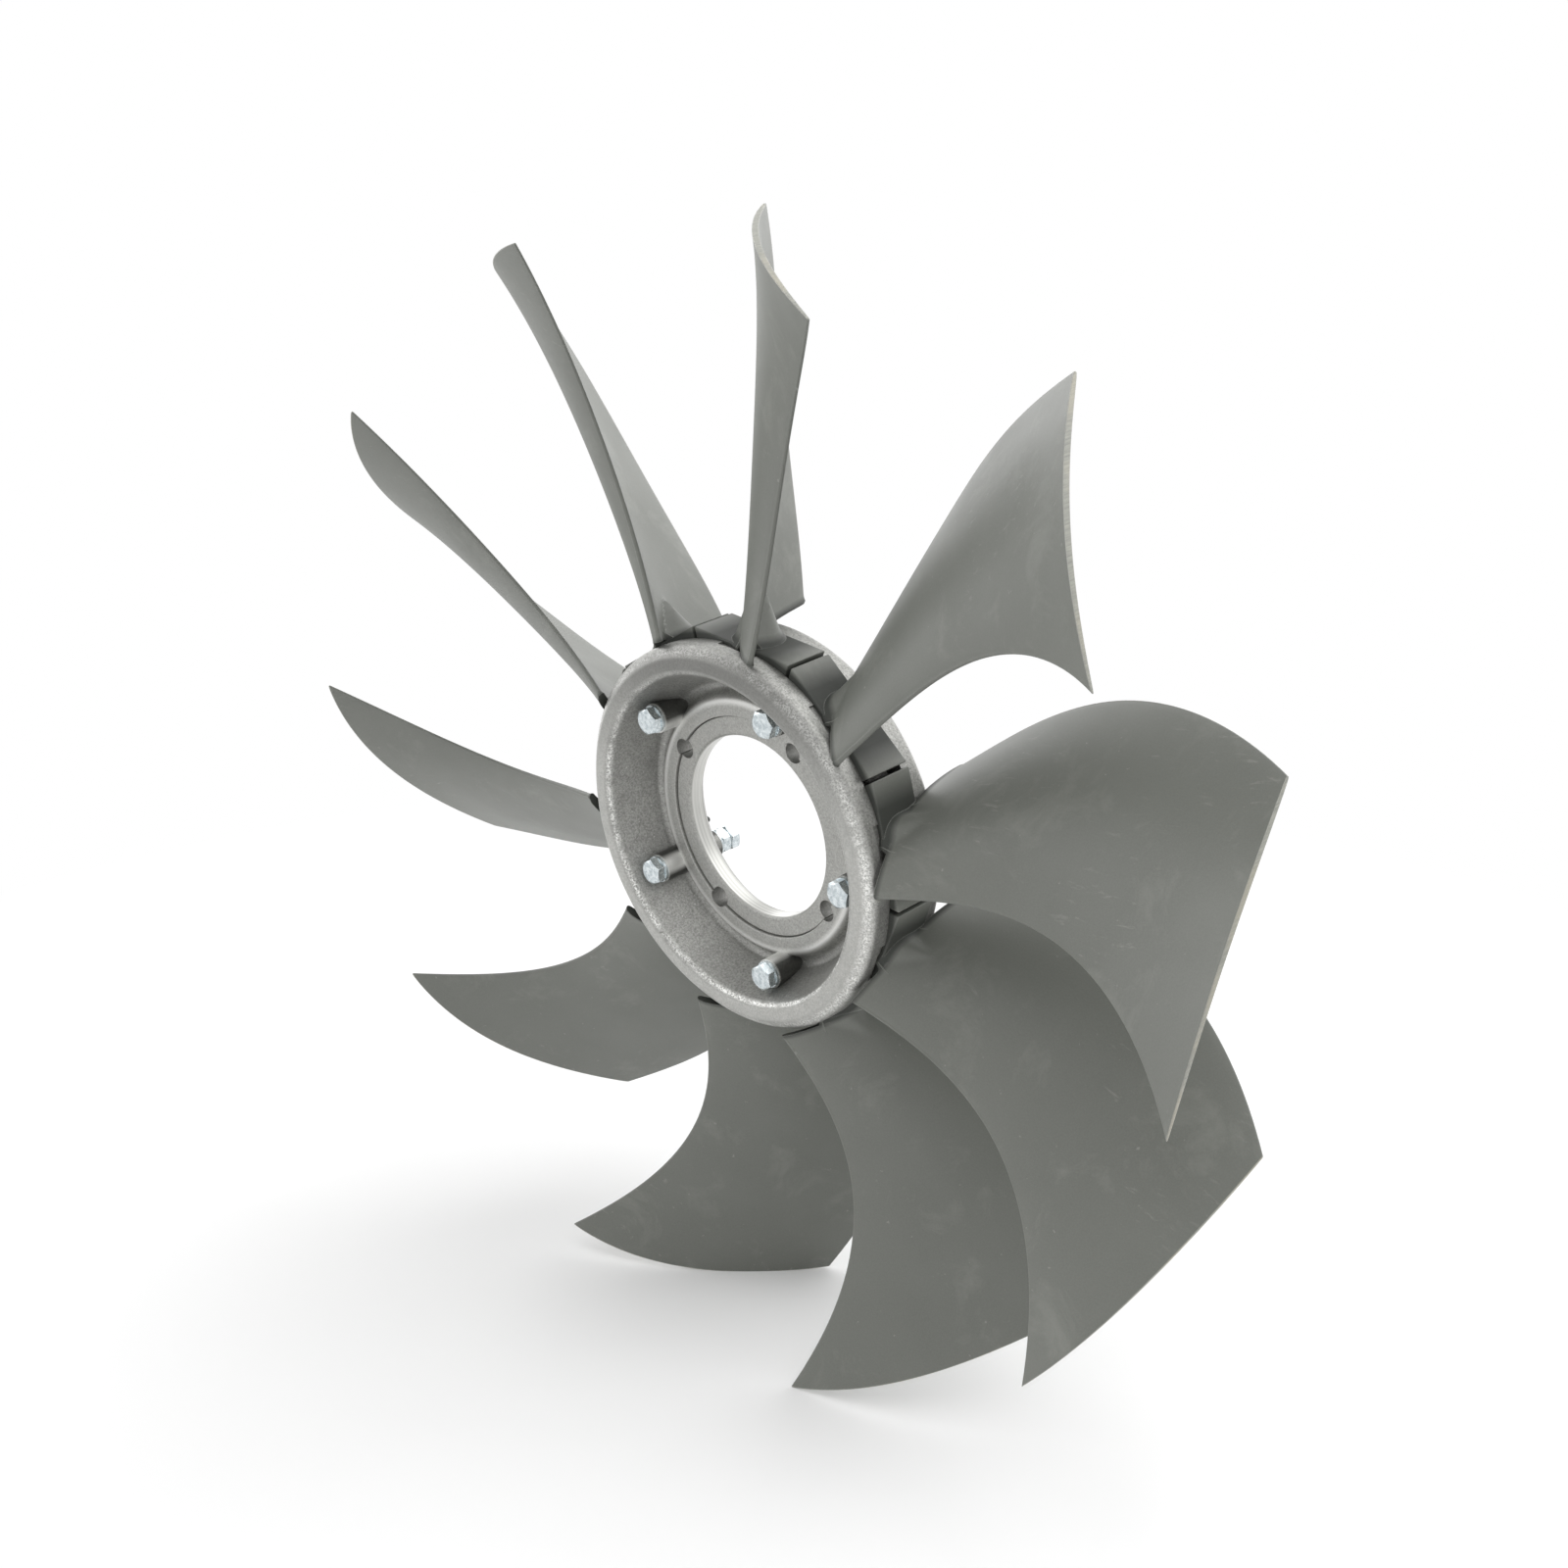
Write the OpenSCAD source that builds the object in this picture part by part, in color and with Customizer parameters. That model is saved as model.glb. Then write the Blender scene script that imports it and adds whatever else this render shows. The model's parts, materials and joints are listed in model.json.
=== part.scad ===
// Ten-bladed axial radiator fan: moulded plastic blades clamped by their feet
// between two die-cast hub halves, which five bolts hold together.
// The fan axis is the Y axis, the front faces -Y, and the origin lies on the axis
// in the middle plane of the hub, inside the pilot bore.

/* [Fan] */
// Diameter over the blade tips
fan_d = 600; // [560:1:700]
// Angle of the first blade's leading tip corner above the X axis
first_blade_angle = 66; // [0:1:90]

/* [Blade shape] */
// Chord length at four control points from root to tip
blade_chord = [84, 106, 122, 155]; // [40:1:200]
// Pitch angle from the plane of rotation, root to tip
blade_pitch = [62, 44, 41, 37.5]; // [20:0.5:75]
// Angle from the leading tip corner back to mid-chord, root to tip
blade_skew = [18, 26, 18.5, 11.8]; // [0:0.1:40]
// Axial place of mid-chord in front of the hub's middle plane, root to tip
blade_rake = [-12, -34, -30, 16]; // [-60:1:60]
// Camber height at mid-chord, root to tip
blade_camber = [10, 13, 9, 12.5]; // [0:0.5:25]
// How far the camber's high point leans to the leading edge
camber_lean = 0.25; // [0:0.05:0.5]
// Greatest thickness of the aerofoil at the root
root_t = 7; // [4:0.5:10]
// Greatest thickness of the aerofoil at the tip
tip_t = 3; // [2:0.5:5]
// Thickness of the leading and trailing edges at the root
root_edge_t = 2.6; // [1.5:0.1:3.5]
// Thickness of the leading and trailing edges at the tip
tip_edge_t = 1.2; // [0.8:0.1:2]

/* [Blade root] */
// Width of the root block along the fan axis
block_w = 25.7; // [20:0.1:30]
// Height of the root block's outer face over the hub rim
block_rise = 0.9; // [0.4:0.1:3]
// Angle between neighbouring root blocks
block_gap_angle = 1.2; // [0.4:0.1:2]
// Depth of the foot below the root block's outer face
foot_h = 19.6; // [18.6:0.2:21]
// Width of the foot's inner end along the fan axis
foot_end_w = 8; // [6:0.5:12]
// Depth from the root block's outer face to the foot's neck
neck_h = 7.4; // [6.5:0.1:8]
// Radial height of the slope between the neck and the bead
bead_slope_h = 1.6; // [1:0.1:2]
// Radial height of the foot's retaining bead
bead_h = 4.4; // [3:0.1:6]
// Width of the foot's retaining bead along the fan axis
bead_w = 30; // [28:0.5:33]
// Radius of the conical stem where it meets the root block
stem_r = 12.5; // [9:0.5:12.5]
// Height of the stem above the root block
stem_h = 26; // [18:1:34]
// How far the stem leans at full height, along the block and along the fan axis
stem_lean = [11, -10]; // [-15:1:15]
// Clearance between the leading root corner and the front rim
lead_clear = 2.5; // [1:0.1:5]
// Clearance between the trailing root corner and the rear rim
trail_clear = 1.2; // [0.6:0.1:4]
// Clearance around each foot in the hub
foot_clear = 0.2; // [0.1:0.05:0.4]

/* [Hub] */
// Diameter of both hub rims
hub_d = 207; // [205:0.5:216]
// Distance from the hub's middle plane to the front rim face
rim_front = 27; // [25:0.5:29]
// Distance from the hub's middle plane to the rear rim face
rim_rear = 25; // [20:0.5:28]
// Width of each rim face
rim_w = 14.5; // [13:0.5:15]
// Width of the bevel round the front rim
rim_bevel_w = 6; // [4:0.5:7]
// Height of the bevel round the front rim
rim_bevel_h = 5; // [3:0.5:6]
// Radius of the outer roundings of the rims
rim_round = 4; // [2:0.5:4]
// Radius of the inner rounding of each rim
rim_in_round = 5; // [2:0.5:6]
// How far the dish wall leans out towards the rim
wall_lean = 11; // [10:0.5:11.5]
// Radius of the fillet between the dish wall and its floor
dish_fillet = 4; // [2:0.5:4]
// Distance from the hub's middle plane to the mounting ring's front face
ring_rise = 2; // [1:0.5:4]
// Thickness of the floor of the hub halves at the bolts
floor_t = 4; // [3:0.5:6]
// Depth of the dish floor below the ring's front face
dish_depth = 4.5; // [3:0.5:6]
// Height of the front half's inner flange over the ring's front face
flange_rise = 1.5; // [0.5:0.5:3]
// Width of the flange between the split and the dish
flange_w = 9.2; // [8.6:0.2:9.6]
// Width of the dish floor between the flange's slope and the bolt circle
floor_in_w = 2.9; // [2.7:0.1:4]
// Width of the flange's slope
slope_w = 4; // [3:0.5:5]
// Radius of the rounding at the top and foot of the flange's slope
slope_round = 3; // [1:0.5:3]
// Radius of the small roundings on both sides of the split
split_round = 0.5; // [0.2:0.1:0.8]
// Depth of the ten flats in the front rim's side
flat_depth = 1.7; // [0.6:0.1:2.5]
// Width of the flats along the fan axis
flat_w = 3.5; // [1:0.1:4]
// Length of the flats
flat_l = 24; // [12:1:32]

/* [Mounting ring] */
// Width of the ring between the pilot bore and the split
ring_w = 10.8; // [9:0.1:14]
// Chamfer at the front of the pilot bore
bore_chamfer = 1.2; // [0.5:0.1:2]
// Chamfer at the back of the pilot bore
bore_lead = 4; // [1:0.5:5]
// Gap at the split round the ring
split_gap = 0.3; // [0.2:0.05:0.6]
// Distance from the split in to the centres of the four mounting holes
mount_inset = 1.3; // [0.5:0.1:3]
// Diameter of the mounting holes
mount_hole_d = 11; // [8:0.5:11]
// Angle of the first mounting hole past a gap between blades
mount_angle = 45; // [40:1:50]

/* [Bolts] */
// Clearance between the bolt bosses and the blade feet
boss_clear = 0.4; // [0.3:0.1:1]
// Thread diameter of the bolts
bolt_d = 8; // [6:1:8]
// Clearance on the diameter in the bolt holes
bolt_clear = 1; // [0.4:0.1:1.2]
// Length of the bolt under its head
bolt_l = 55; // [54:1:60]
// Width across flats of the bolt heads and nuts
hex_af = 13; // [11:0.5:14]
// Height of the bolt heads
head_h = 5.3; // [4:0.1:6]
// Angle of a corner of each bolt head
head_turn = [21, 4, 19, 34, 28]; // [0:1:60]
// Height of each nut
nut_h = 6.5; // [5:0.1:7]
// Outer diameter of the washers
washer_d = 14.8; // [14:0.2:15]
// Thickness of the washers
washer_t = 1.6; // [1:0.1:2]
// Diameter of the bolt bosses
boss_d = 16; // [15:0.2:17]
// Distance from the hub's middle plane to the front boss faces
boss_rise = 14.6; // [12:0.1:16]

/* [Hidden] */
blade_count = 10;
bolt_count = 5;
mount_count = 4;
blade_step = 360 / blade_count;
bolt_step = 360 / bolt_count;
mount_step = 360 / mount_count;

// Places along the fan axis, in front of the hub's middle plane
front_z = rim_front;
rear_z = -rim_rear;
block_front_z = block_w / 2;
block_rear_z = -block_w / 2;
ring_z = ring_rise;
dish_z = ring_z - dish_depth;
joint_z = dish_z - floor_t;
web_rear_z = joint_z - floor_t;
boss_front_z = boss_rise;
boss_rear_z = rear_z;

// Radii
tip_r = fan_d / 2;
hub_r = hub_d / 2;
block_r = hub_r + block_rise;
lead_r = hub_r + lead_clear;
trail_r = hub_r + trail_clear;
foot_r = block_r - foot_h;
bolt_hole_d = bolt_d + bolt_clear;
bolt_r = foot_r - boss_clear - boss_d / 2;
rim_in_r = hub_r - rim_w;
dish_out_r = rim_in_r - wall_lean;
dish_in_r = bolt_r - floor_in_w;
flange_r = dish_in_r - slope_w;
split_r = flange_r - flange_w;
bore_r = split_r - ring_w;
mount_r = split_r - mount_inset;

// The foot's neck and bead
neck_r = block_r - neck_h;
bead_out_r = neck_r - bead_slope_h;
bead_in_r = bead_out_r - bead_h;
foot_half_w = foot_end_w / 2;
block_half_angle = (blade_step - block_gap_angle) / 2;

// Smoothness of the aerofoil mesh
chord_steps = 14;
span_steps = 14;
stem_sides = 20;
// How far the aerofoil runs down into the root block
sunk = 5;
eps = 0.01;
steel = "lightsteelblue";

// Value of a cubic curve through the first and last of four controls
function curve(c, s) =
    c[0] * pow(1 - s, 3) + 3 * c[1] * s * pow(1 - s, 2)
    + 3 * c[2] * s * s * (1 - s) + c[3] * pow(s, 3);

// Outline with each corner rounded by its own radius: corners are [x, y, radius]
function rounded(corners) = [
    for (i = [0 : len(corners) - 1])
        let (
            n = len(corners),
            a = corners[(i + n - 1) % n],
            b = corners[i],
            c = corners[(i + 1) % n]
        )
        each b[2] == 0 ? [[b[0], b[1]]] : corner_arc(a, b, c)
];

function unit(v) = v / norm(v);

// Arc that replaces the corner b between a and c
function corner_arc(a, b, c, steps = 5) =
    let (
        p = [b[0], b[1]],
        u = unit([a[0], a[1]] - p),
        v = unit([c[0], c[1]] - p),
        half = acos(u * v) / 2,
        reach = b[2] / tan(half),
        centre = p + unit(u + v) * b[2] / sin(half),
        start = p + u * reach - centre,
        turn = cross(start, p + v * reach - centre) > 0 ? 1 : -1
    )
    [for (k = [0 : steps])
        let (t = turn * (180 - 2 * half) * k / steps)
        centre + [start[0] * cos(t) - start[1] * sin(t), start[0] * sin(t) + start[1] * cos(t)]];

// Radius where the aerofoil starts, inside the root block
root_r = trail_r - sunk;

// Point on the aerofoil: span fraction s, chord fraction c, side 1 front or -1 rear
function foil_point(s, c, side, edge) =
    let (
        r = root_r + (tip_r - root_r) * s,
        f = max(0, (r - lead_r) / (tip_r - lead_r)),
        chord = curve(blade_chord, f),
        pitch = curve(blade_pitch, f),
        full_t = root_t + (tip_t - root_t) * f,
        edge_t = root_edge_t + (tip_edge_t - root_edge_t) * f,
        bow = curve(blade_camber, f) * 4 * c * (1 - c) * (1 + camber_lean * (1 - 2 * c)),
        half_t = (edge_t + (full_t - edge_t) * sqrt(4 * c * (1 - c))) / 2,
        up = bow + side * half_t,
        along = (c - 0.5) * chord + edge * edge_t * 0.45,
        arc = along * cos(pitch) + up * sin(pitch),
        z = curve(blade_rake, f) - along * sin(pitch) + up * cos(pitch),
        turn = curve(blade_skew, f) + arc / r * 180 / PI
    )
    [r * cos(turn), r * sin(turn), z];

// Chord fractions closer together near both edges
function chord_at(i) = (1 - cos(180 * i / chord_steps)) / 2;

// One closed ring of the aerofoil: the front side back from the nose, then the rear side
function foil_ring(s) = concat(
    [foil_point(s, 0, 0, -1)],
    [for (i = [0 : chord_steps]) foil_point(s, chord_at(i), 1, 0)],
    [foil_point(s, 1, 0, 1)],
    [for (i = [chord_steps : -1 : 0]) foil_point(s, chord_at(i), -1, 0)]
);

// Solid through a list of closed rings with equal, even numbers of points
module skin(rings) {
    n = len(rings[0]);
    top = n * (len(rings) - 1);
    sides = [
        for (j = [0 : len(rings) - 2], i = [0 : n - 1])
            let (a = j * n + i, b = j * n + (i + 1) % n)
            each [[a, b, b + n], [a, b + n, a + n]]
    ];
    strip = [
        for (i = [0 : n / 2 - 1])
            let (a = i, b = i + 1, c = n - i - 1, d = (n - i) % n)
            each [
                if (b != c) [a, b, c],
                if (a != d) [a, c, d]
            ]
    ];
    low_cap = [for (f = strip) [f[2], f[1], f[0]]];
    top_cap = [for (f = strip) [top + f[0], top + f[1], top + f[2]]];
    polyhedron(points = [for (ring = rings) each ring], faces = concat(sides, low_cap, top_cap));
}

module foil() {
    skin([for (j = [0 : span_steps]) foil_ring(j / span_steps)]);
}

// Room that the hub rims need under the overhanging ends of the aerofoil
module rim_room() {
    reach = 60;
    inset = 0.5;
    translate([0, 0, block_front_z - inset])
        cylinder(r = lead_r, h = reach, $fn = 96);
    translate([0, 0, block_rear_z + inset - reach])
        cylinder(r = trail_r, h = reach, $fn = 96);
}

// Conical stem, which leans from the middle of the block to the blade's middle
module stem() {
    flare = [[-0.04, 1.02], [0.08, 0.9], [0.2, 0.79], [0.4, 0.61], [0.7, 0.36], [1, 0.1]];
    rotate([0, 0, blade_step / 2])
        skin([
            for (f = flare)
                let (k = max(0, f[0]), h = f[0] * stem_h)
                [for (i = [0 : stem_sides - 1])
                    let (t = 360 * i / stem_sides)
                    [
                        block_r + h,
                        stem_lean[0] * k + stem_r * f[1] * sin(t),
                        stem_lean[1] * k + stem_r * f[1] * cos(t)
                    ]]
        ]);
}

// Foot and root block, centred on the direction of the X axis
module root_block() {
    neck_slope = (bead_w - block_w) / 2 / (neck_r - bead_out_r);
    foot = [
        [foot_r, -foot_half_w],
        [bead_in_r, -bead_w / 2],
        [bead_out_r, -bead_w / 2],
        [neck_r + 1, block_rear_z + neck_slope],
        [neck_r + 1, block_front_z - neck_slope],
        [bead_out_r, bead_w / 2],
        [bead_in_r, bead_w / 2],
        [foot_r, foot_half_w]
    ];
    inner_r = bead_out_r - 1;
    a = block_half_angle;
    foot_a = a - 0.4;
    rotate([0, 0, -foot_a])
        rotate_extrude(angle = 2 * foot_a, $fn = 120)
            polygon(foot);
    translate([0, 0, block_rear_z])
        linear_extrude(block_w)
            polygon([
                [inner_r * cos(a), -inner_r * sin(a)],
                [block_r, -block_r * tan(a)],
                [block_r, block_r * tan(a)],
                [inner_r * cos(a), inner_r * sin(a)],
                [inner_r, 0]
            ]);
}

// Blade number k, counted clockwise from the front
module blade(k) {
    color([0.44, 0.45, 0.42])
        place(-blade_step * (k - 1))
            union() {
                difference() {
                    foil();
                    rim_room();
                }
                stem();
                rotate([0, 0, blade_step / 2])
                    root_block();
            }
}

// Turns a piece about the fan axis, then lays that axis along Y
module place(turn) {
    rotate([90, 0, 0])
        rotate([0, 0, first_blade_angle + turn])
            children();
}

// Front half: profile from the split out over the dish to the rim, and back behind it
module front_hub_half() {
    c = foot_clear;
    profile = rounded([
        [split_r, joint_z, 0],
        [split_r, ring_z + flange_rise, split_round],
        [flange_r, ring_z + flange_rise, slope_round],
        [dish_in_r, dish_z, slope_round],
        [dish_out_r, dish_z, dish_fillet],
        [rim_in_r, front_z, rim_in_round],
        [hub_r - rim_bevel_w, front_z, rim_round],
        [hub_r, front_z - rim_bevel_h, rim_round],
        [hub_r, block_front_z, 0],
        [neck_r + c, block_front_z, 0],
        [bead_out_r + c, bead_w / 2 + c, 0],
        [bead_in_r - c, bead_w / 2 + c, 0],
        [foot_r - c, foot_half_w, 0],
        [foot_r - c, joint_z, 0]
    ]);
    color([0.66, 0.66, 0.65])
        place(0)
            difference() {
                union() {
                    rotate_extrude($fn = 120)
                        polygon(profile);
                    bosses(dish_z - 1, boss_front_z);
                }
                hub_holes();
                rim_flats();
            }
}

// Rear half: the mounting ring, the web behind the front half and the rear rim
module rear_hub_half() {
    c = foot_clear;
    ring_r = split_r - split_gap;
    profile = rounded([
        [bore_r + bore_lead, web_rear_z, 0],
        [bore_r, web_rear_z + bore_lead, 0],
        [bore_r, ring_z - bore_chamfer, 0],
        [bore_r + bore_chamfer, ring_z, 0],
        [ring_r, ring_z, split_round],
        [ring_r, joint_z, 0],
        [foot_r - c, joint_z, 0],
        [bead_in_r - c, -bead_w / 2 - c, 0],
        [bead_out_r + c, -bead_w / 2 - c, 0],
        [neck_r + c, block_rear_z, 0],
        [hub_r, block_rear_z, 0],
        [hub_r, rear_z, rim_round],
        [rim_in_r, rear_z, rim_in_round],
        [dish_out_r, web_rear_z, dish_fillet]
    ]);
    color([0.66, 0.66, 0.65])
        place(0)
            difference() {
                union() {
                    rotate_extrude($fn = 120)
                        polygon(profile);
                    bosses(boss_rear_z, web_rear_z + 1);
                }
                hub_holes();
            }
}

// Bolt bosses between two heights; each one stands at a gap between blades
module bosses(low, high) {
    for (i = [0 : bolt_count - 1])
        rotate([0, 0, -bolt_step * i])
            translate([bolt_r, 0, low])
                cylinder(d = boss_d, h = high - low, $fn = 48);
}

// Bolt holes and mounting holes, right through
module hub_holes() {
    low = rear_z - 1;
    high = front_z + 1;
    for (i = [0 : bolt_count - 1])
        rotate([0, 0, -bolt_step * i])
            translate([bolt_r, 0, low])
                cylinder(d = bolt_hole_d, h = high - low, $fn = 32);
    for (i = [0 : mount_count - 1])
        rotate([0, 0, blade_step + mount_angle + mount_step * i])
            translate([mount_r, 0, low])
                cylinder(d = mount_hole_d, h = high - low, $fn = 32);
}

// Flats in the side of the front rim, one under each blade's leading edge
module rim_flats() {
    for (i = [0 : blade_count - 1])
        rotate([0, 0, blade_step * (i + 0.5)])
            translate([hub_r - flat_depth, -flat_l / 2, block_front_z - eps])
                cube([flat_depth + 5, flat_l, flat_w + eps]);
}

// Hexagon with its outer corners chamfered at the top, and at the bottom if both is true
module hex(h, both) {
    corner_r = hex_af / 2 / cos(30);
    face_r = hex_af * 0.45;
    slope = (corner_r - face_r) * tan(30);
    low = both ? slope : 0;
    intersection() {
        cylinder(r = corner_r, h = h, $fn = 6);
        rotate_extrude($fn = 48)
            polygon([
                [0, 0],
                [both ? face_r : corner_r, 0],
                [corner_r, low],
                [corner_r, h - slope],
                [face_r, h],
                [0, h]
            ]);
    }
}

// Angle of bolt number k above the X axis
function bolt_angle(k) = first_blade_angle + 2 * blade_step - bolt_step * (k - 1);

// Place of bolt number k, with Z at the given height
module at_bolt(k, z) {
    place(bolt_angle(k) - first_blade_angle)
        translate([bolt_r, 0, z])
            children();
}

// Hexagon bolt whose head sits on its washer
module bolt(k) {
    seat_z = boss_front_z + washer_t;
    tip = 1;
    color(steel)
        at_bolt(k, seat_z)
            union() {
                rotate([0, 0, head_turn[k - 1] - bolt_angle(k)])
                    hex(head_h, false);
                translate([0, 0, tip - bolt_l])
                    cylinder(d = bolt_d, h = bolt_l, $fn = 32);
                translate([0, 0, -bolt_l])
                    cylinder(d1 = bolt_d - 1.5, d2 = bolt_d, h = tip, $fn = 32);
            }
}

module washer(k, z) {
    color(steel)
        at_bolt(k, z)
            difference() {
                cylinder(d = washer_d, h = washer_t, $fn = 48);
                translate([0, 0, -1])
                    cylinder(d = bolt_d + 0.4, h = washer_t + 2, $fn = 32);
            }
}

module nut(k, z, turn) {
    color(steel)
        at_bolt(k, z - nut_h)
            difference() {
                rotate([0, 0, turn])
                    hex(nut_h, true);
                translate([0, 0, -1])
                    cylinder(d = bolt_d + 0.1, h = nut_h + 2, $fn = 32);
            }
}

module front_washer(k) {
    washer(k, boss_front_z);
}

module rear_washer(k) {
    washer(k, boss_rear_z - washer_t);
}

module hub_nut(k) {
    nut(k, boss_rear_z - washer_t, 5 + 11 * k);
}

module lock_nut(k) {
    nut(k, boss_rear_z - washer_t - nut_h, 28 + 17 * k);
}

front_hub_half();
rear_hub_half();
blade(1);  // blade_1
blade(2);  // blade_2
blade(3);  // blade_3
blade(4);  // blade_4
blade(5);  // blade_5
blade(6);  // blade_6
blade(7);  // blade_7
blade(8);  // blade_8
blade(9);  // blade_9
blade(10);  // blade_10
bolt(1);  // bolt_1
bolt(2);  // bolt_2
bolt(3);  // bolt_3
bolt(4);  // bolt_4
bolt(5);  // bolt_5
front_washer(1);  // front_washer_1
front_washer(2);  // front_washer_2
front_washer(3);  // front_washer_3
front_washer(4);  // front_washer_4
front_washer(5);  // front_washer_5
rear_washer(1);  // rear_washer_1
rear_washer(2);  // rear_washer_2
rear_washer(3);  // rear_washer_3
rear_washer(4);  // rear_washer_4
rear_washer(5);  // rear_washer_5
hub_nut(1);  // nut_1
hub_nut(2);  // nut_2
hub_nut(3);  // nut_3
hub_nut(4);  // nut_4
hub_nut(5);  // nut_5
lock_nut(1);  // lock_nut_1
lock_nut(2);  // lock_nut_2
lock_nut(3);  // lock_nut_3
lock_nut(4);  // lock_nut_4
lock_nut(5);  // lock_nut_5
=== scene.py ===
"""Looks of the radiator fan: materials, studio, camera. Metres, fan axis along Y, front to -Y."""

import json
import math

import bmesh
import bpy
import numpy as np
from mathutils import Euler, Matrix, Vector

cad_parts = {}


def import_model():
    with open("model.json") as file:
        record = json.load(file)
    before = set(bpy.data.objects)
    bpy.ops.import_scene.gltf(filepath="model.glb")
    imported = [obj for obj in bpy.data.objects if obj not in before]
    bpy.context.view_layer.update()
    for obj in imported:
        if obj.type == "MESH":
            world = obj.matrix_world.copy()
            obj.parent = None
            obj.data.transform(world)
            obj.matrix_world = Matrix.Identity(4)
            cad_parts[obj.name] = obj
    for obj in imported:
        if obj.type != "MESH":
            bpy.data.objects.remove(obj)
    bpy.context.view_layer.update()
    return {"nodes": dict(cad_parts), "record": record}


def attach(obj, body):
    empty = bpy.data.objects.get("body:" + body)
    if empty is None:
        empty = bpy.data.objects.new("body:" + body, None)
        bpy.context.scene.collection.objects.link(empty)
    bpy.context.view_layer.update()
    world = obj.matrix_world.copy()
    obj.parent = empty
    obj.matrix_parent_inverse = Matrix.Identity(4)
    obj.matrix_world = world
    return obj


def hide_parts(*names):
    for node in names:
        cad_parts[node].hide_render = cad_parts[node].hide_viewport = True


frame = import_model()
nodes = frame["nodes"]

MM = 0.001

# Blade sizes in millimetres and degrees, as in the part's source. Four values run from root to tip.
CHORD = (84.0, 106.0, 122.0, 155.0)
PITCH = (62.0, 44.0, 41.0, 37.5)
SKEW = (18.0, 26.0, 18.5, 11.8)
RAKE = (-12.0, -34.0, -30.0, 16.0)
CAMBER = (10.0, 13.0, 9.0, 12.5)
CAMBER_LEAN = 0.25
ROOT_T, TIP_T = 7.0, 3.0
ROOT_EDGE_T, TIP_EDGE_T = 2.6, 1.2
TIP_R = 300.0
HUB_R = 103.5
LEAD_R = HUB_R + 2.5
TRAIL_R = HUB_R + 1.2
BLOCK_R = HUB_R + 0.9
BLOCK_W = 25.7
FOOT_R = BLOCK_R - 19.6
FOOT_END_W = 8.0
NECK_R = BLOCK_R - 7.4
BEAD_OUT_R = NECK_R - 1.6
BEAD_IN_R = BEAD_OUT_R - 4.4
BEAD_W = 30.0
STEM_R, STEM_H = 12.5, 26.0
STEM_LEAN = (11.0, -10.0)

# Girth of the stem as shares of its radius, at shares of its height. The last values end it.
STEM_AT = (0.0, 0.08, 0.2, 0.4, 0.7, 1.0, 1.3, 9.0)
STEM_GIRTH = (1.0, 0.9, 0.79, 0.61, 0.36, 0.1, -0.2, -9.0)

# Rounding of the aerofoil, the stem and the block. Shares are of the edge's thickness and of the
# stem's girth. The rest, apart from the power, is in millimetres. Over its fade a rounding gets
# 2.7 times smaller.
EDGE_REACH_SHARE = 0.45
STEM_SPREAD_SHARE, STEM_SPREAD_MIN = 1.1, 4.0
STEM_FALL_POWER = 2.4
STEM_FLARE, STEM_FLARE_FADE = 1.5, 1.1
ROOT_FILLET, ROOT_FILLET_FADE = 0.8, 0.9
BLEND_SHARE, BLEND_MIN, BLEND_MAX = 0.45, 0.6, 5.5
BLOCK_ROUND = 0.7

# The aerofoil starts inside the block, or above the rim where it overhangs the block's ends, and
# the foot's neck ends inside the block.
ROOT_DEPTH = 4.0
OVERHANG_INSET = 0.5
NECK_DEPTH, NECK_INSET = 0.5, 0.6

# Faces of one blade. Rows are closer together over the root's share of the span, and the points of
# a row near both edges of the aerofoil.
CHORD_STEPS, EDGE_STEPS = 56, 6
ROOT_ROWS, TIP_ROWS = 24, 34
ROOT_SHARE = 0.18
EDGE_CROWDING = 0.55
BLOCK_ROUND_STEPS = 3
FOOT_STEPS = 6

# Edges sharper than this, in degrees, stay sharp.
SHARP_CAD, SHARP_BLADE = 24, 30

# Places round the fan axis, in radians.
BLADES = 10
STEP = 2 * math.pi / BLADES
FIRST = math.radians(66)
BLOCK_GAP = math.radians(1.2)
BLOCK_HALF = (STEP - BLOCK_GAP) / 2
FOOT_HALF = BLOCK_HALF - math.radians(0.4)
BOLT_STEP = 2 * STEP
FIRST_HOLE = math.radians(147)
HOLE_STEP = math.radians(90)

# Hub sizes in millimetres, as in the part's source. Heights are those above its middle plane.
RIM_IN_R = HUB_R - 14.5
RIM_WALL_H = 22.0
FLANGE_R = 69.5
BORE_R = 49.5
BOLT_CIRCLE_R = 76.4
BOSS_R, BOSS_H = 8.0, 14.6
HOLE_CIRCLE_R, HOLE_R = 59.0, 5.5

# Floor in metres: a plane that touches the tips of the two lowest blades. Past WHITE_TO it is white.
FLOOR_UP = (0.0054, 0.0897, 0.996)
FLOOR_DROP = 0.2975
FLOOR_SIZE = 12.0
WHITE_FROM, WHITE_TO = 0.45, 0.9

# Name, direction towards the lamp and strength.
LAMPS = (
    ("left", (-1.0, 0.0, 0.15), 1.8),
    ("behind", (0.0, 1.0, 0.15), 1.3),
    ("above", (0.25, 0.28, 1.0), 1.55),
)
LAMP_ANGLE = math.radians(80)

# Strength of the world where it lights the fan. The camera, glass and reflections see 1.
WORLD_LIGHT = 0.5

# Camera of the photo: place in metres, turn in degrees, shift as a share of the picture's width,
# lens and sensor in millimetres.
CAMERA_AT = (0.6679, -0.6019, 0.4074)
CAMERA_TURN = (63.18, 4.10, 46.29)
CAMERA_SHIFT = (0.0198, 0.0781)
LENS, SENSOR = 43.97, 36


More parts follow.
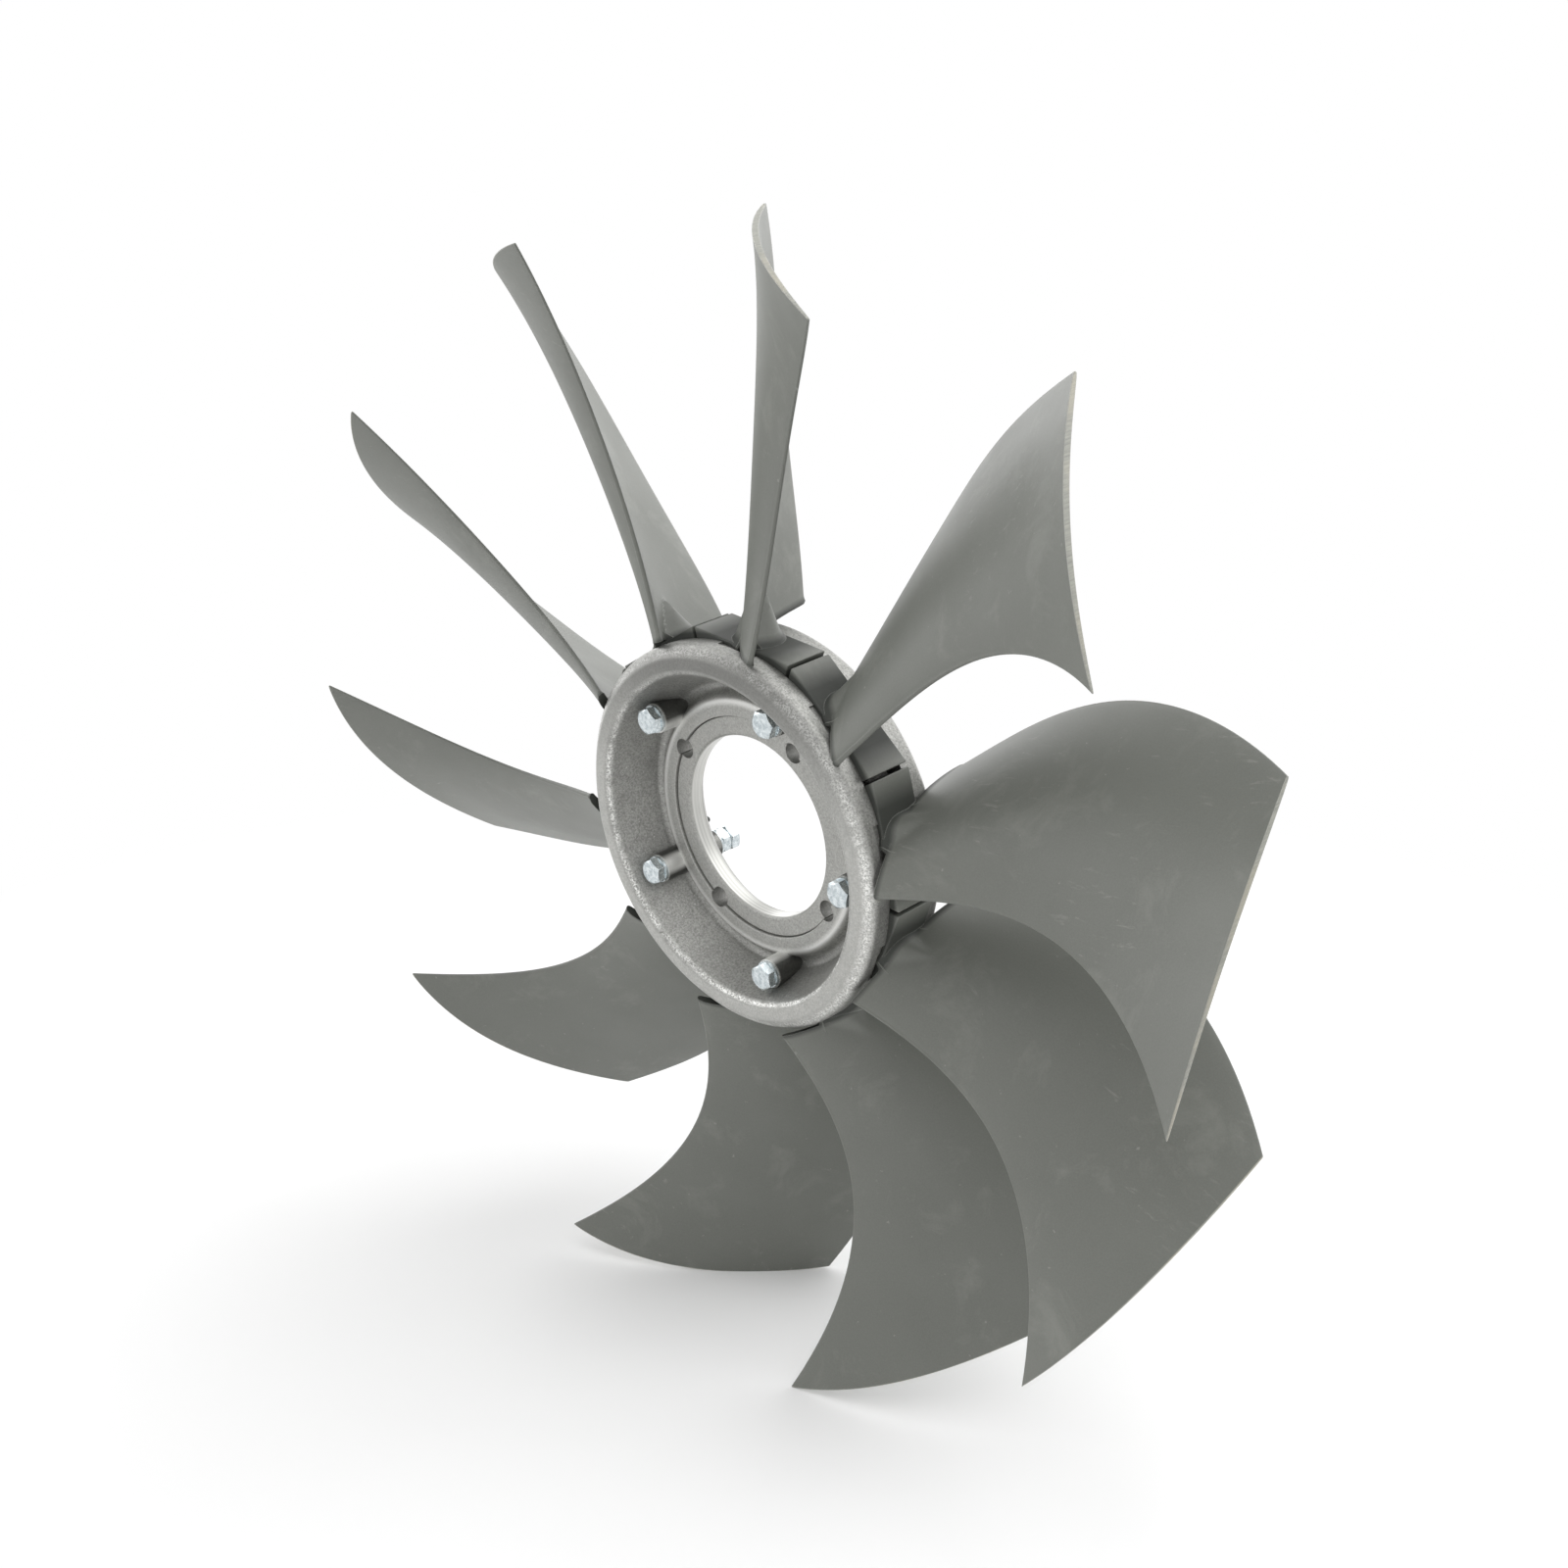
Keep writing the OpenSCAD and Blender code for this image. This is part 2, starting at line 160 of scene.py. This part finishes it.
class Shader:
    """A small helper that adds linked nodes to one material."""

    def __init__(self, name):
        self.mat = bpy.data.materials.new(name)
        self.mat.use_nodes = True
        self.tree = self.mat.node_tree
        self.bsdf = self.tree.nodes["Principled BSDF"]
        self.out = self.tree.nodes["Material Output"]

    def add(self, kind, inputs=None, **props):
        n = self.tree.nodes.new(kind)
        for k, v in props.items():
            setattr(n, k, v)
        for k, v in (inputs or {}).items():
            self.put(n.inputs[k], v)
        return n

    def put(self, socket, value):
        if isinstance(value, bpy.types.NodeSocket):
            self.tree.links.new(value, socket)
        else:
            socket.default_value = value

    def set(self, **values):
        for k, v in values.items():
            self.put(self.bsdf.inputs[k.replace("_", " ")], v)

    def math(self, op, a, b=0.0):
        return self.add("ShaderNodeMath", {0: a, 1: b}, operation=op).outputs[0]

    def times(self, *values):
        """Product of two or more values."""
        product = values[0]
        for value in values[1:]:
            product = self.math("MULTIPLY", product, value)
        return product

    def noise(self, vector, scale, detail=4.0, rough=0.55, warp=0.0):
        n = self.add(
            "ShaderNodeTexNoise",
            {"Vector": vector, "Scale": scale, "Detail": detail, "Roughness": rough, "Distortion": warp},
        )
        return n.outputs["Fac"]

    def remap(self, value, a, b, to_a=0.0, to_b=1.0):
        n = self.add(
            "ShaderNodeMapRange",
            {"Value": value, "From Min": a, "From Max": b, "To Min": to_a, "To Max": to_b},
        )
        return n.outputs["Result"]

    def mix(self, fac, a, b):
        """Colour a turned into b; the node's colour sockets are 6, 7 and output 2."""
        n = self.add("ShaderNodeMix", data_type="RGBA")
        self.put(n.inputs[0], fac)
        self.put(n.inputs[6], a)
        self.put(n.inputs[7], b)
        return n.outputs[2]

    def band(self, value, a, b, soft):
        """1 between a and b, with soft ends."""
        return self.times(self.remap(value, a - soft, a + soft), self.remap(value, b + soft, b - soft))

    def coords(self):
        """Object coordinates in metres."""
        return self.add("ShaderNodeTexCoord").outputs["Object"]

    def stretched(self, co, scale, turn=(0.0, 0.0, 0.0)):
        """Coordinates turned and scaled apart along each axis."""
        n = self.add("ShaderNodeMapping", {"Vector": co, "Scale": scale, "Rotation": turn})
        return n.outputs[0]

    def split(self, co):
        """X, Y and Z of the coordinates in millimetres."""
        mm = self.add("ShaderNodeVectorMath", {0: co, "Scale": 1 / MM}, operation="SCALE").outputs[0]
        return self.add("ShaderNodeSeparateXYZ", {"Vector": mm}).outputs

    def length(self, vector):
        return self.add("ShaderNodeVectorMath", {0: vector}, operation="LENGTH").outputs["Value"]

    def radius(self, x, z):
        """Distance from the fan axis."""
        return self.length(self.add("ShaderNodeCombineXYZ", {"X": x, "Z": z}).outputs[0])

    def from_axis(self, x, z, first, step, radius):
        """Distance from the nearest axis of a circle of evenly spaced axes."""
        turn = self.math("SUBTRACT", self.math("ARCTAN2", z, x), first)
        count = self.math("ROUND", self.math("DIVIDE", turn, step))
        axis = self.math("ADD", self.times(count, step), first)
        dx = self.math("SUBTRACT", x, self.times(self.math("COSINE", axis), radius))
        dz = self.math("SUBTRACT", z, self.times(self.math("SINE", axis), radius))
        return self.radius(dx, dz)

    def normal(self, height, strength, distance, bevel):
        """Fine bumps on top of a bevel's rounded normal."""
        n = self.add(
            "ShaderNodeBump",
            {"Height": height, "Strength": strength, "Distance": distance, "Normal": bevel},
        )
        return n.outputs["Normal"]

    def bevel(self, radius, samples):
        n = self.add("ShaderNodeBevel", {"Radius": radius}, samples=samples)
        return n.outputs["Normal"]


def srgb(code):
    """Linear colour of a hex code."""
    parts = [int(code[i : i + 2], 16) / 255 for i in (0, 2, 4)]
    return tuple(c / 12.92 if c < 0.04045 else ((c + 0.055) / 1.055) ** 2.4 for c in parts) + (1.0,)


def cast_aluminium():
    """Tumbled casting: fine grey grain and a machined bore, with painted glints, painted highlights on
    the rim's edges and the flange ridge, and painted shade on the boss sides, in the holes and on the
    rim's top.
    """
    s = Shader("cast_aluminium")
    co = s.coords()
    x, y, z = s.split(co)
    r = s.radius(x, z)
    front = s.times(y, -1.0)
    grain = s.noise(co, 900.0, 5.0, 0.8)
    fleck = s.noise(co, 1100.0, 3.0, 0.7)
    blotch = s.noise(co, 130.0, 6.0, 0.75, 0.6)
    cloud = s.noise(co, 34.0, 3.0)
    base = s.mix(s.remap(grain, 0.36, 0.66), srgb("838380"), srgb("bbbbb7"))
    base = s.mix(s.remap(blotch, 0.5, 0.68, 0.0, 0.3), base, srgb("666662"))
    # Painted glints: sparse bright specks over the casting.
    speck = s.remap(s.noise(co, 520.0, 2.0, 0.6), 0.69, 0.74, 0.0, 0.5)
    base = s.mix(speck, base, srgb("f0f0ed"))
    base = s.mix(s.remap(cloud, 0.4, 0.7, 0.0, 0.3), base, srgb("7c7c78"))

    from_bolt = s.from_axis(x, z, FIRST, BOLT_STEP, BOLT_CIRCLE_R)
    boss = s.remap(from_bolt, BOSS_R + 0.6, BOSS_R + 0.1)
    boss_side_shade = s.times(boss, s.remap(front, BOSS_H - 0.4, BOSS_H - 1.0))
    # Painted shade on the sides of the bolt bosses.
    base = s.mix(s.times(boss_side_shade, 0.85), base, srgb("41413e"))

    crown = s.remap(front, RIM_WALL_H - 4.0, RIM_WALL_H)
    rim_face = s.times(s.band(r, RIM_IN_R + 1.6, HUB_R - 1.5, 1.0), crown)
    # A lighter tone on the rim's face.
    base = s.mix(s.times(rim_face, 0.35), base, srgb("d6d6d2"))
    # Painted shade: the rim's face darker towards the top.
    base = s.mix(s.times(rim_face, s.remap(z, 20.0, 90.0, 0.0, 0.7)), base, srgb("5a5a57"))

    # Painted highlights: bright sparkle along the rounded inner and outer edges of the rim, fainter
    # towards the top.
    outer_edge = s.band(r, HUB_R - 4.9, HUB_R - 1.4, 1.3)
    inner_edge = s.band(r, RIM_IN_R - 0.9, RIM_IN_R + 0.9, 0.6)
    rim_edge_highlight = s.times(
        s.math("MAXIMUM", outer_edge, inner_edge),
        crown,
        s.remap(z, 30.0, 90.0, 1.0, 0.3),
        s.remap(blotch, 0.62, 0.42, 0.3, 0.95),
        s.remap(fleck, 0.43, 0.57),
    )
    base = s.mix(rim_edge_highlight, base, srgb("fafaf7"))

    flange = s.mix(s.remap(grain, 0.36, 0.66), srgb("a2a29e"), srgb("bebeba"))
    base = s.mix(s.remap(r, FLANGE_R + 0.5, FLANGE_R - 0.5, 0.0, 0.55), base, flange)
    # Painted highlight: a bright line along the flange's outer shoulder.
    ridge_highlight = s.times(s.band(r, FLANGE_R - 2.7, FLANGE_R + 0.7, 1.2), s.remap(front, -3.0, -1.0))
    base = s.mix(s.times(ridge_highlight, 0.75), base, srgb("e9e9e6"))

    from_hole = s.from_axis(x, z, FIRST_HOLE, HOLE_STEP, HOLE_CIRCLE_R)
    hole_shade = s.remap(from_hole, HOLE_R + 0.1, HOLE_R)
    # Painted shade inside the mounting holes.
    base = s.mix(s.times(hole_shade, 0.35), base, srgb("4e4e4b"))

    bore = s.remap(r, BORE_R + 0.5, BORE_R + 0.2)
    turned = s.noise(s.stretched(co, (6.0, 900.0, 6.0)), 1.0)
    base = s.mix(bore, base, s.mix(s.remap(turned, 0.35, 0.65), srgb("b4b4b0"), srgb("dadad6")))

    height = s.times(grain, s.math("SUBTRACT", 1.0, bore))
    s.set(
        Base_Color=base,
        Metallic=0.66,
        Roughness=s.remap(s.math("MAXIMUM", grain, bore), 0.3, 0.8, 0.5, 0.33),
        Normal=s.normal(height, 0.25, 0.0003, s.bevel(0.0006, 4)),
    )
    return s.mat


def blade_plastic():
    """Satin grey moulding with faint clouds, light scuffs and saw-cut tips; pale edges that are partly
    wear and partly painted highlight, and painted shade near the root.
    """
    s = Shader("blade_plastic")
    co = s.coords()
    x, _, z = s.split(co)
    r = s.radius(x, z)
    cloud = s.noise(co, 22.0, 4.0)
    fine = s.noise(co, 1300.0, 3.0, 0.7)
    base = s.mix(s.remap(cloud, 0.3, 0.7), srgb("6d6f69"), srgb("72746e"))
    base = s.mix(s.remap(fine, 0.35, 0.65, 0.0, 0.4), base, srgb("7d7f79"))

    streaks = s.noise(s.stretched(co, (20.0, 150.0, 90.0), (0.4, 0.9, 0.2)), 2.2, 5.0, 0.7, 0.3)
    patches = s.remap(s.noise(co, 14.0, 2.0), 0.54, 0.62)
    scuff = s.times(s.remap(streaks, 0.6, 0.7, 0.0, 0.25), patches)
    smudge = s.remap(s.noise(co, 26.0, 8.0, 0.7, 0.5), 0.54, 0.74, 0.0, 0.2)
    scuff = s.math("MAXIMUM", scuff, smudge)
    speck = s.remap(s.noise(co, 260.0, 2.0), 0.74, 0.77, 0.0, 0.3)
    base = s.mix(s.math("MAXIMUM", scuff, speck), base, srgb("b3b4ac"))
    # Painted shade: darker near the root, on the block and where the blade meets the hub.
    base = s.mix(s.remap(r, LEAD_R + 2.8, LEAD_R, 0.0, 0.85), base, srgb("343633"))

    saw = s.noise(s.stretched(co, (1500.0, 90.0, 1500.0)), 1.0, 3.0)
    cut = s.mix(s.remap(saw, 0.3, 0.7), srgb("868780"), srgb("a9a99f"))
    cut = s.mix(s.remap(cloud, 0.5, 0.6, 0.0, 0.5), cut, srgb("b3ad9a"))
    base = s.mix(s.remap(r, TIP_R - 0.45, TIP_R - 0.2), base, cut)

    # Pale edges, partly real wear and burrs and partly a painted highlight along the rounded edges,
    # paler still at the saw-cut tip.
    bevel = s.bevel(0.0008, 6)
    flat = s.add("ShaderNodeNewGeometry").outputs["True Normal"]
    same = s.add("ShaderNodeVectorMath", {0: bevel, 1: flat}, operation="DOT_PRODUCT")
    edge_wear_and_highlight = s.remap(same.outputs["Value"], 0.97, 0.8, 0.0, 0.7)
    pale = s.mix(s.remap(r, TIP_R - 2.0, TIP_R - 1.0), srgb("a6a8a1"), srgb("cbccc6"))
    base = s.mix(edge_wear_and_highlight, base, pale)
    s.set(
        Base_Color=base,
        Roughness=s.remap(cloud, 0.3, 0.7, 0.5, 0.44),
        Specular_IOR_Level=s.remap(r, LEAD_R, LEAD_R + 2.8, 0.22, 0.52),
        Normal=s.normal(fine, 0.14, 0.0002, bevel),
    )
    return s.mat


def zinc_steel():
    """Bright zinc plating with a faint blue cast and fine blotches."""
    s = Shader("zinc_steel")
    cloud = s.noise(s.coords(), 420.0, 4.0, 0.65, 0.5)
    s.set(
        Base_Color=s.mix(s.remap(cloud, 0.38, 0.62), srgb("b3bcc0"), srgb("dde4e6")),
        Metallic=1.0,
        Roughness=s.remap(cloud, 0.3, 0.7, 0.34, 0.22),
        Normal=s.bevel(0.0004, 4),
    )
    return s.mat


def smooth(mesh, sharp):
    """Smooth shading, apart from edges sharper than this angle in degrees."""
    for p in mesh.polygons:
        p.use_smooth = True
    mesh.set_sharp_from_angle(angle=math.radians(sharp))


def curve(c, f):
    """Cubic curve through the first and last of four controls."""
    return c[0] * (1 - f) ** 3 + 3 * c[1] * f * (1 - f) ** 2 + 3 * c[2] * f**2 * (1 - f) + c[3] * f**3


def soft_max(a, b, k):
    """The larger of two surfaces, blended over k where they are close."""
    h = np.clip(0.5 + 0.5 * (a - b) / k, 0, 1)
    return b + (a - b) * h + k * h * (1 - h)


def foil(r, c, side, shift):
    """Points of the aerofoil at radius r and chord fraction c, with the stem's flare blended in.

    The side goes from 1 on the front skin to -1 on the rear one. The shift goes round an edge:
    it is 0 on both skins, and 1 or -1 where the edge reaches out furthest.
    """
    f = np.clip((r - LEAD_R) / (TIP_R - LEAD_R), 0, 1)
    chord, pitch = curve(CHORD, f), np.radians(curve(PITCH, f))
    skew, rake = np.radians(curve(SKEW, f)), curve(RAKE, f)
    edge_t = ROOT_EDGE_T + (TIP_EDGE_T - ROOT_EDGE_T) * f
    full_t = ROOT_T + (TIP_T - ROOT_T) * f
    bow = curve(CAMBER, f) * 4 * c * (1 - c) * (1 + CAMBER_LEAN * (1 - 2 * c))
    half = (edge_t + (full_t - edge_t) * np.sqrt(4 * c * (1 - c))) / 2
    along = (c - 0.5) * chord + shift * edge_t * EDGE_REACH_SHARE

    middle = skew + (along * np.cos(pitch) + bow * np.sin(pitch)) / r
    rise = r * np.cos(middle - STEP / 2) - BLOCK_R
    k = rise / STEM_H
    lean = np.clip(k, 0, None)
    girth = STEM_R * np.interp(k, STEM_AT, STEM_GIRTH)
    girth = girth + STEM_FLARE * np.exp(-np.clip(rise, 0, None) / STEM_FLARE_FADE)
    tangent = r * (STEP / 2 - skew) + STEM_LEAN[0] * lean
    axial = STEM_LEAN[1] * lean - rake
    mid_along = tangent * np.cos(pitch) - axial * np.sin(pitch)
    mid_up = tangent * np.sin(pitch) + axial * np.cos(pitch)
    spread = np.clip(girth * STEM_SPREAD_SHARE, STEM_SPREAD_MIN, None)
    mound = girth - STEM_R * np.abs((along - mid_along) / spread) ** STEM_FALL_POWER

    fillet = ROOT_FILLET * np.exp(-np.abs(rise) / ROOT_FILLET_FADE)
    blend = np.clip(BLEND_SHARE * girth, BLEND_MIN, BLEND_MAX)
    front = soft_max(bow + half + fillet, mid_up + mound, blend)
    rear = -soft_max(half + fillet - bow, mound - mid_up, blend)
    up = (front + rear) / 2 + side * (front - rear) / 2
    turn = skew + (along * np.cos(pitch) + up * np.sin(pitch)) / r
    w = rake - along * np.sin(pitch) + up * np.cos(pitch)
    return np.stack([r * np.cos(turn), r * np.sin(turn), w], -1)


def foil_mesh(bm):
    """Skin of the aerofoil: rings of points from the root block out to the saw-cut tip."""
    even = np.linspace(0, 1, CHORD_STEPS + 1)
    c = EDGE_CROWDING * (1 - np.cos(np.pi * even)) / 2 + (1 - EDGE_CROWDING) * even
    turns = np.linspace(0, np.pi, EDGE_STEPS + 1)[1:-1]
    n, m = len(c), len(turns)
    ring_c = np.concatenate([c, np.ones(m), c[::-1], np.zeros(m)])
    side = np.concatenate([np.ones(n), np.cos(turns), -np.ones(n), -np.cos(turns)])
    shift = np.concatenate([np.zeros(n), np.sin(turns), np.zeros(n), -np.sin(turns)])

    w = foil(np.full_like(ring_c, LEAD_R), ring_c, side * 0, shift)[:, 2]
    end = BLOCK_W / 2 - OVERHANG_INSET
    start = np.where(w > end, LEAD_R, np.where(w < -end, TRAIL_R, BLOCK_R - ROOT_DEPTH))
    root_rows = np.linspace(0, ROOT_SHARE, ROOT_ROWS)[:-1]
    tip_rows = np.linspace(ROOT_SHARE, 1, TIP_ROWS)
    rings = []
    for s in np.concatenate([root_rows, tip_rows]):
        points = foil(start + (TIP_R - start) * s, ring_c, side, shift)
        rings.append([bm.verts.new(p) for p in points])

    count = len(ring_c)
    for low, high in zip(rings, rings[1:]):
        for i in range(count):
            j = (i + 1) % count
            bm.faces.new((low[j], low[i], high[i], high[j]))
    for ring, flip in ((rings[0], False), (rings[-1], True)):
        front, tail = ring[:n], ring[n : n + m]
        rear, nose = ring[n + m : 2 * n + m][::-1], ring[2 * n + m :]
        caps = [(front[i], front[i + 1], rear[i + 1], rear[i]) for i in range(n - 1)]
        caps += [(front[-1], *tail, rear[-1]), (rear[0], *nose, front[0])]
        for cap in caps:
            bm.faces.new(cap[::-1] if flip else cap)


def prism(bm, low, high):
    """Solid between two outlines with the same number of points."""
    a = [bm.verts.new(p) for p in low]
    b = [bm.verts.new(p) for p in high]
    bm.faces.new(a[::-1])
    bm.faces.new(b)
    for i in range(len(a)):
        j = (i + 1) % len(a)
        bm.faces.new((a[i], a[j], b[j], b[i]))


def block_mesh(bm):
    """Root block with rounded outer edges."""
    deep = BEAD_OUT_R - 1
    outline = [
        (deep * math.cos(BLOCK_HALF), -deep * math.sin(BLOCK_HALF)),
        (BLOCK_R, -BLOCK_R * math.tan(BLOCK_HALF)),
        (BLOCK_R, BLOCK_R * math.tan(BLOCK_HALF)),
        (deep * math.cos(BLOCK_HALF), deep * math.sin(BLOCK_HALF)),
    ]
    rear, front = [[(x, y, z) for x, y in outline] for z in (-BLOCK_W / 2, BLOCK_W / 2)]
    prism(bm, rear, front)
    outer = [e for e in bm.edges if max(v.co.x for v in e.verts) > BLOCK_R - 1]
    bmesh.ops.bevel(
        bm,
        geom=outer,
        offset=BLOCK_ROUND,
        segments=BLOCK_ROUND_STEPS,
        affect="EDGES",
        profile=0.5,
    )


def foot_mesh(bm):
    """The foot that the hub halves hold."""
    neck_r = NECK_R + NECK_DEPTH
    neck_w = BLOCK_W - 2 * NECK_INSET
    section = [
        (FOOT_R, -FOOT_END_W / 2),
        (BEAD_IN_R, -BEAD_W / 2),
        (BEAD_OUT_R, -BEAD_W / 2),
        (neck_r, -neck_w / 2),
        (neck_r, neck_w / 2),
        (BEAD_OUT_R, BEAD_W / 2),
        (BEAD_IN_R, BEAD_W / 2),
        (FOOT_R, FOOT_END_W / 2),
    ]
    turns = np.linspace(-FOOT_HALF, FOOT_HALF, FOOT_STEPS + 1)
    rings = [[bm.verts.new((r * math.cos(t), r * math.sin(t), z)) for r, z in section] for t in turns]
    for a, b in zip(rings, rings[1:]):
        for i in range(len(section)):
            j = (i + 1) % len(section)
            bm.faces.new((a[j], a[i], b[i], b[j]))
    bm.faces.new(rings[0])
    bm.faces.new(rings[-1][::-1])


def solid(build):
    """Object from one of the functions above."""
    bm = bmesh.new()
    build(bm)
    mesh = bpy.data.meshes.new(build.__name__)
    bm.to_mesh(mesh)
    bm.free()
    o = bpy.data.objects.new(build.__name__, mesh)
    bpy.context.collection.objects.link(o)
    return o


def blade_mesh():
    """One blade in millimetres: the aerofoil, its root block and its foot in one skin."""
    foil_object, block, foot = [solid(f) for f in (foil_mesh, block_mesh, foot_mesh)]
    for o in (block, foot):
        o.rotation_euler.z = STEP / 2
        join = foil_object.modifiers.new("join", "BOOLEAN")
        join.operation, join.solver, join.object = "UNION", "EXACT", o
    bpy.context.view_layer.update()
    shown = foil_object.evaluated_get(bpy.context.evaluated_depsgraph_get())
    mesh = bpy.data.meshes.new_from_object(shown)
    for o in (foil_object, block, foot):
        bpy.data.objects.remove(o)
    return mesh


def blades(material):
    """A smooth blade in place of each CAD blade."""
    pattern = blade_mesh()
    for k in range(BLADES):
        mesh = pattern.copy()
        turn = Matrix.Rotation(math.radians(90), 4, "X") @ Matrix.Rotation(FIRST - STEP * k, 4, "Z")
        mesh.transform(Matrix.Scale(MM, 4) @ turn)
        o = bpy.data.objects.new("smooth_blade_%d" % (k + 1), mesh)
        bpy.context.collection.objects.link(o)
        mesh.materials.clear()
        mesh.materials.append(material)
        smooth(mesh, SHARP_BLADE)
        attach(o, "root")
        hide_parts("blade_%d" % (k + 1))
    bpy.data.meshes.remove(pattern)


def dress(made):
    """The CAD nodes in the materials of their slots."""
    for part in frame["record"]["subparts"]:
        o = nodes[part["node"]]
        o.data.materials.clear()
        o.data.materials.append(made[part["material_slot"]])
        smooth(o.data, SHARP_CAD)


def floor():
    """White floor that the fan stands on; it takes a soft shadow and fades to white further off."""
    up = Vector(FLOOR_UP).normalized()
    bpy.ops.mesh.primitive_plane_add(size=FLOOR_SIZE)
    o = bpy.context.object
    o.name = "floor"
    o.rotation_mode = "QUATERNION"
    o.rotation_quaternion = Vector((0, 0, 1)).rotation_difference(up)
    o.location = up * -FLOOR_DROP
    s = Shader("floor")
    co = s.coords()
    grain = s.noise(co, 3.0)
    s.set(
        Base_Color=s.mix(grain, (0.94, 0.94, 0.94, 1), (0.97, 0.97, 0.97, 1)),
        Roughness=1.0,
        Specular_IOR_Level=0.0,
    )
    glow = s.add("ShaderNodeEmission", {"Color": (1, 1, 1, 1), "Strength": 1.0}).outputs[0]
    fade = s.remap(s.length(co), WHITE_FROM, WHITE_TO)
    both = s.add("ShaderNodeMixShader", {0: fade, 1: s.bsdf.outputs[0], 2: glow})
    s.put(s.out.inputs["Surface"], both.outputs[0])
    o.data.materials.append(s.mat)


def world():
    """White to the camera, through glass and in reflections; softer where it lights the fan."""
    w = bpy.data.worlds.new("studio")
    bpy.context.scene.world = w
    w.use_nodes = True
    t = w.node_tree
    path = t.nodes.new("ShaderNodeLightPath")
    seen = path.outputs["Is Camera Ray"]
    for kind in ("Is Transmission Ray", "Is Glossy Ray"):
        either = t.nodes.new("ShaderNodeMath")
        either.operation = "MAXIMUM"
        t.links.new(seen, either.inputs[0])
        t.links.new(path.outputs[kind], either.inputs[1])
        seen = either.outputs[0]
    power = t.nodes.new("ShaderNodeMapRange")
    power.inputs["To Min"].default_value = WORLD_LIGHT
    power.inputs["To Max"].default_value = 1.0
    t.links.new(seen, power.inputs["Value"])
    back = t.nodes["Background"]
    back.inputs["Color"].default_value = (1, 1, 1, 1)
    t.links.new(power.outputs[0], back.inputs["Strength"])


def lights():
    """Three large soft lamps: from the left, from behind and from above."""
    for name, toward, energy in LAMPS:
        data = bpy.data.lights.new(name, "SUN")
        data.energy = energy
        data.angle = LAMP_ANGLE
        o = bpy.data.objects.new(name, data)
        bpy.context.collection.objects.link(o)
        o.rotation_euler = Vector(toward).to_track_quat("Z", "Y").to_euler()


def camera():
    """Camera of the photo."""
    data = bpy.data.cameras.new("camera")
    data.sensor_width = SENSOR
    data.lens = LENS
    data.shift_x, data.shift_y = CAMERA_SHIFT
    data.clip_start = 0.05
    data.clip_end = 50
    o = bpy.data.objects.new("camera", data)
    bpy.context.collection.objects.link(o)
    o.location = CAMERA_AT
    o.rotation_euler = Euler([math.radians(a) for a in CAMERA_TURN])
    bpy.context.scene.camera = o


made = {
    "cast_aluminium": cast_aluminium(),
    "blade_plastic": blade_plastic(),
    "zinc_steel": zinc_steel(),
}
dress(made)
blades(made["blade_plastic"])
floor()
world()
lights()
camera()

scene = bpy.context.scene
scene.view_settings.view_transform = "Standard"
